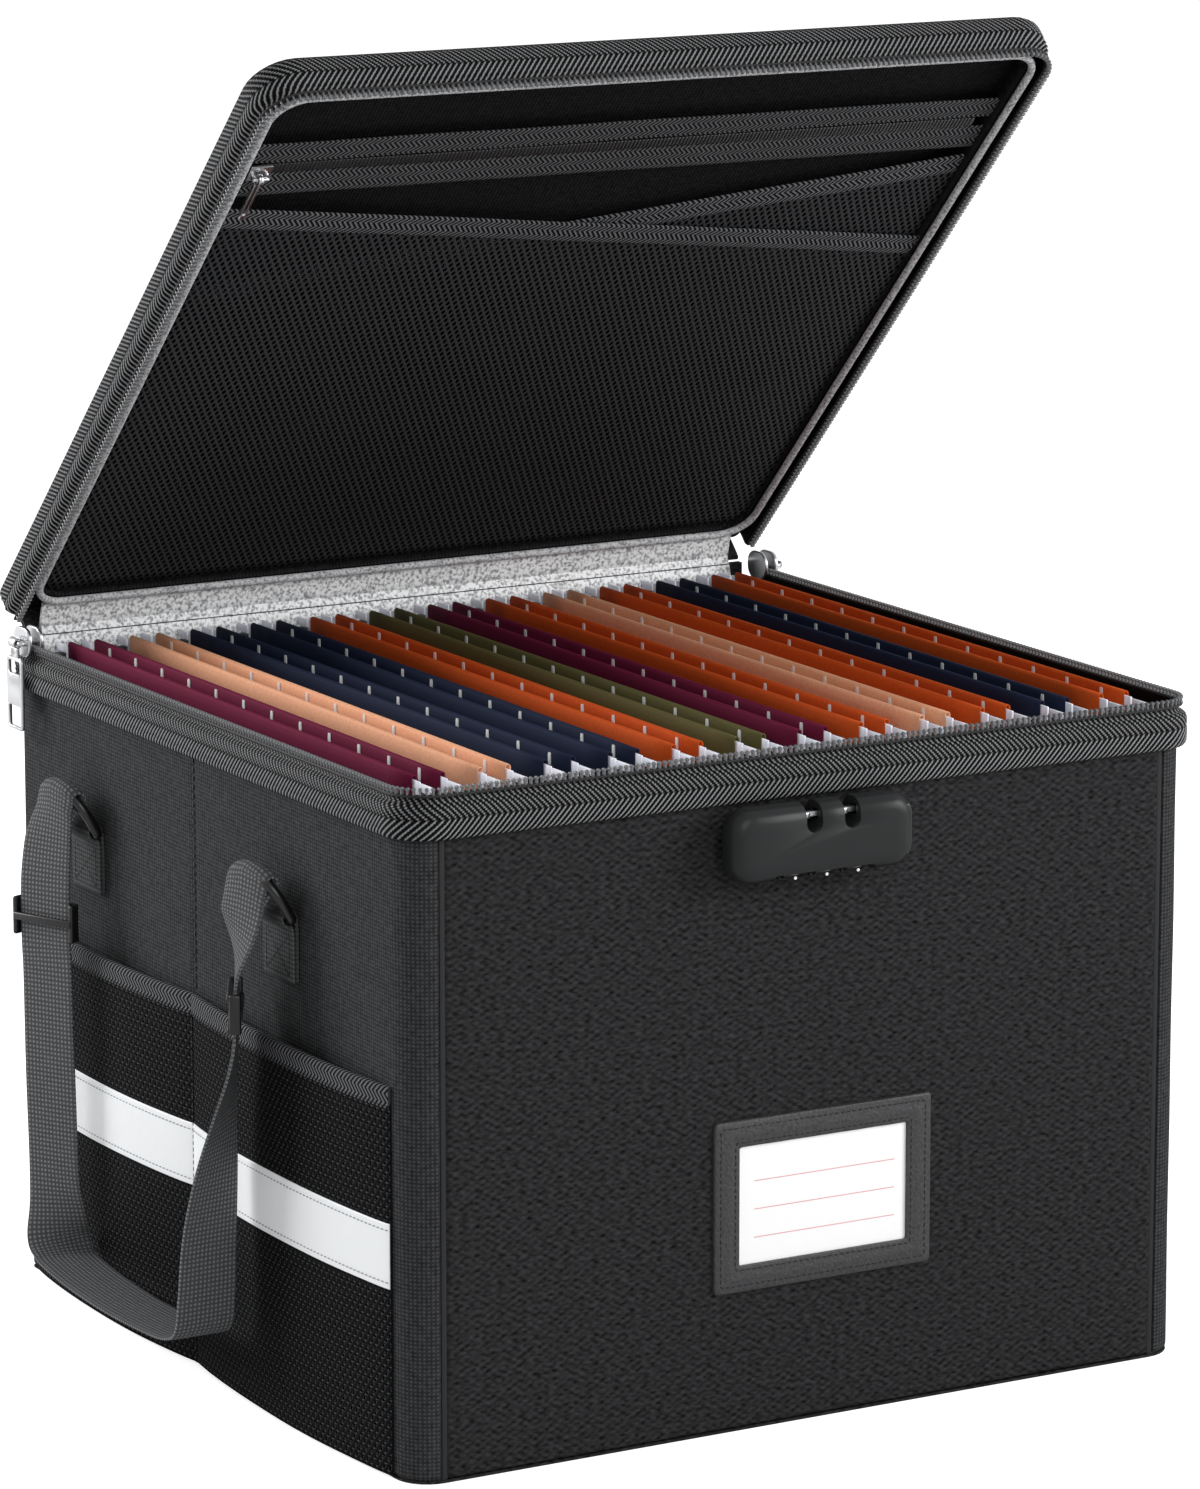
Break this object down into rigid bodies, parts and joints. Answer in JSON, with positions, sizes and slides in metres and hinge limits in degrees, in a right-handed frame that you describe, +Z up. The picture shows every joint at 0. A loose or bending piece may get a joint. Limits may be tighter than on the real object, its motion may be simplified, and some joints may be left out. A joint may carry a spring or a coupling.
{
  "type": "file box",
  "caption": "Portable lidded fabric file box with hanging folders, a zipped rim, a dial lock, side pockets and a webbing handle on each side.",
  "frame": {"origin": "middle of the underside of the box", "axes": "+X to the right seen from the front, +Y to the back, +Z up"},
  "size_m": [0.4188, 0.3655, 0.5163],
  "materials": {
    "side_cloth": "smooth coated cloth",
    "front_cloth": "fine woven cloth",
    "board": "matt",
    "lining_cloth": "matt",
    "rail_plastic": "matt",
    "zip_tape_cloth": "herringbone",
    "zip_plastic": "satin",
    "label_leatherette": "grained",
    "label_paper": "matt",
    "mesh_cloth": "mesh",
    "reflective_film": "retroreflective",
    "webbing": "ribbed webbing",
    "hard_plastic": "matt",
    "lock_shell": "satin",
    "bright_metal": "polished",
    "piping_cloth": "woven",
    "hinge_cloth": "silver woven",
    "card_maroon": "matt",
    "card_peach": "matt",
    "card_navy": "matt",
    "card_orange": "matt",
    "card_olive": "matt"
  },
  "bodies": {
    "box": {"base_cover": "front_cloth", "front_cover": "front_cloth", "rear_cover": "front_cloth", "left_cover": "side_cloth", "right_cover": "side_cloth", "base_board": "board", "wall_boards": "board", "body_lining": "lining_cloth", "front_rail": "rail_plastic", "rear_rail": "rail_plastic", "body_zip_tape": "zip_tape_cloth", "body_zip_teeth": "zip_plastic", "label_holder": "label_leatherette", "label_card": "label_paper", "left_pocket": "mesh_cloth", "right_pocket": "mesh_cloth", "pocket_bindings": "webbing", "reflective_strips": "reflective_film", "ring_tabs": "webbing", "lock_housing": "lock_shell"},
    "lid": {"lid_cover": "front_cloth", "lid_board": "board", "lid_lining": "lining_cloth", "lid_zip_tape": "zip_tape_cloth", "lid_zip_teeth": "zip_plastic", "lid_piping": "piping_cloth", "hinge_strip": "hinge_cloth", "pocket_zip_tape": "webbing", "pocket_zip_teeth": "hard_plastic", "inner_mesh_pocket": "mesh_cloth", "outer_mesh_pocket": "mesh_cloth"},
    "dial_1": {"lock_dial_1": "hard_plastic"},
    "dial_2": {"lock_dial_2": "hard_plastic"},
    "dial_3": {"lock_dial_3": "hard_plastic"},
    "button": {"lock_button": "lock_shell", "lock_latch": "bright_metal"},
    "left_ring_pair": {"left_rings": "hard_plastic"},
    "right_ring_pair": {"right_rings": "hard_plastic"},
    "left_handle": {"left_strap": "webbing", "left_glides": "hard_plastic"},
    "right_handle": {"right_strap": "webbing", "right_glides": "hard_plastic"},
    "left_zip_slider": {"left_slider": "bright_metal"},
    "left_zip_pull": {"left_pull": "bright_metal"},
    "right_zip_slider": {"right_slider": "bright_metal"},
    "right_zip_pull": {"right_pull": "bright_metal"},
    "pocket_zip_slider": {"pocket_slider": "bright_metal"},
    "pocket_zip_pull": {"pocket_pull": "bright_metal"},
    "hung_folder_01": {"folder_01": "card_maroon"},
    "hung_folder_02": {"folder_02": "card_peach"},
    "hung_folder_03": {"folder_03": "card_navy"},
    "hung_folder_04": {"folder_04": "card_navy"},
    "hung_folder_05": {"folder_05": "card_orange"},
    "hung_folder_06": {"folder_06": "card_olive"},
    "hung_folder_07": {"folder_07": "card_maroon"},
    "hung_folder_08": {"folder_08": "card_orange"},
    "hung_folder_09": {"folder_09": "card_peach"},
    "hung_folder_10": {"folder_10": "card_orange"},
    "hung_folder_11": {"folder_11": "card_navy"},
    "hung_folder_12": {"folder_12": "card_orange"}
  },
  "joints": [
    {"name": "lid_hinge", "type": "hinge", "parent": "box", "child": "lid", "pos_m": [0, 0.1684, 0.264], "axis": [-1, 0, 0], "range_deg": [-45, 45]},
    {"name": "dial_1_turn", "type": "hinge", "parent": "box", "child": "dial_1", "pos_m": [-0.0177, -0.175, 0.2216], "axis": [1, 0, 0], "continuous": true},
    {"name": "dial_2_turn", "type": "hinge", "parent": "box", "child": "dial_2", "pos_m": [-0.004, -0.175, 0.2216], "axis": [1, 0, 0], "continuous": true},
    {"name": "dial_3_turn", "type": "hinge", "parent": "box", "child": "dial_3", "pos_m": [0.0097, -0.175, 0.2216], "axis": [1, 0, 0], "continuous": true},
    {"name": "button_press", "type": "slide", "parent": "box", "child": "button", "axis": [-1, 0, 0], "range_m": [0, 0.0045], "stiffness_N_per_m": 400, "springref_m": -0.002},
    {"name": "left_ring_tilt", "type": "hinge", "parent": "box", "child": "left_ring_pair", "pos_m": [-0.1749, 0, 0.198], "axis": [0, 1, 0], "range_deg": [0, 28]},
    {"name": "left_handle_swing", "type": "hinge", "parent": "left_ring_pair", "child": "left_handle", "pos_m": [-0.1849, 0, 0.21532], "axis": [0, 1, 0], "range_deg": [0, 115]},
    {"name": "left_slider_run", "type": "slide", "parent": "box", "child": "left_zip_slider", "axis": [0, -1, 0], "range_m": [0, 0.29]},
    {"name": "left_pull_swing", "type": "hinge", "parent": "left_zip_slider", "child": "left_zip_pull", "pos_m": [-0.17815, 0.155, 0.264], "axis": [0, 1, 0], "range_deg": [0, 150]},
    {"name": "right_ring_tilt", "type": "hinge", "parent": "box", "child": "right_ring_pair", "pos_m": [0.1749, 0, 0.198], "axis": [0, -1, 0], "range_deg": [0, 28]},
    {"name": "right_handle_swing", "type": "hinge", "parent": "right_ring_pair", "child": "right_handle", "pos_m": [0.1849, 0, 0.21532], "axis": [0, -1, 0], "range_deg": [0, 115]},
    {"name": "right_slider_run", "type": "slide", "parent": "box", "child": "right_zip_slider", "axis": [0, -1, 0], "range_m": [0, 0.29]},
    {"name": "right_pull_swing", "type": "hinge", "parent": "right_zip_slider", "child": "right_zip_pull", "pos_m": [0.17815, 0.155, 0.264], "axis": [0, -1, 0], "range_deg": [0, 150]},
    {"name": "pocket_slider_run", "type": "slide", "parent": "lid", "child": "pocket_zip_slider", "axis": [1, 0, 0], "range_m": [0, 0.305]},
    {"name": "pocket_pull_swing", "type": "hinge", "parent": "pocket_zip_slider", "child": "pocket_zip_pull", "pos_m": [-0.1596, -0.03016, 0.46849], "axis": [-1, 0, 0], "range_deg": [0, 8]},
    {"name": "folder_01_slide", "type": "slide", "parent": "box", "child": "hung_folder_01", "axis": [1, 0, 0], "range_m": [-0.0035, 0.006]},
    {"name": "folder_02_slide", "type": "slide", "parent": "box", "child": "hung_folder_02", "axis": [1, 0, 0], "range_m": [-0.006, 0.006]},
    {"name": "folder_03_slide", "type": "slide", "parent": "box", "child": "hung_folder_03", "axis": [1, 0, 0], "range_m": [-0.006, 0.006]},
    {"name": "folder_04_slide", "type": "slide", "parent": "box", "child": "hung_folder_04", "axis": [1, 0, 0], "range_m": [-0.006, 0.006]},
    {"name": "folder_05_slide", "type": "slide", "parent": "box", "child": "hung_folder_05", "axis": [1, 0, 0], "range_m": [-0.006, 0.006]},
    {"name": "folder_06_slide", "type": "slide", "parent": "box", "child": "hung_folder_06", "axis": [1, 0, 0], "range_m": [-0.006, 0.006]},
    {"name": "folder_07_slide", "type": "slide", "parent": "box", "child": "hung_folder_07", "axis": [1, 0, 0], "range_m": [-0.006, 0.006]},
    {"name": "folder_08_slide", "type": "slide", "parent": "box", "child": "hung_folder_08", "axis": [1, 0, 0], "range_m": [-0.006, 0.006]},
    {"name": "folder_09_slide", "type": "slide", "parent": "box", "child": "hung_folder_09", "axis": [1, 0, 0], "range_m": [-0.006, 0.006]},
    {"name": "folder_10_slide", "type": "slide", "parent": "box", "child": "hung_folder_10", "axis": [1, 0, 0], "range_m": [-0.006, 0.006]},
    {"name": "folder_11_slide", "type": "slide", "parent": "box", "child": "hung_folder_11", "axis": [1, 0, 0], "range_m": [-0.006, 0.006]},
    {"name": "folder_12_slide", "type": "slide", "parent": "box", "child": "hung_folder_12", "axis": [1, 0, 0], "range_m": [-0.006, 0.006]}
  ]
}
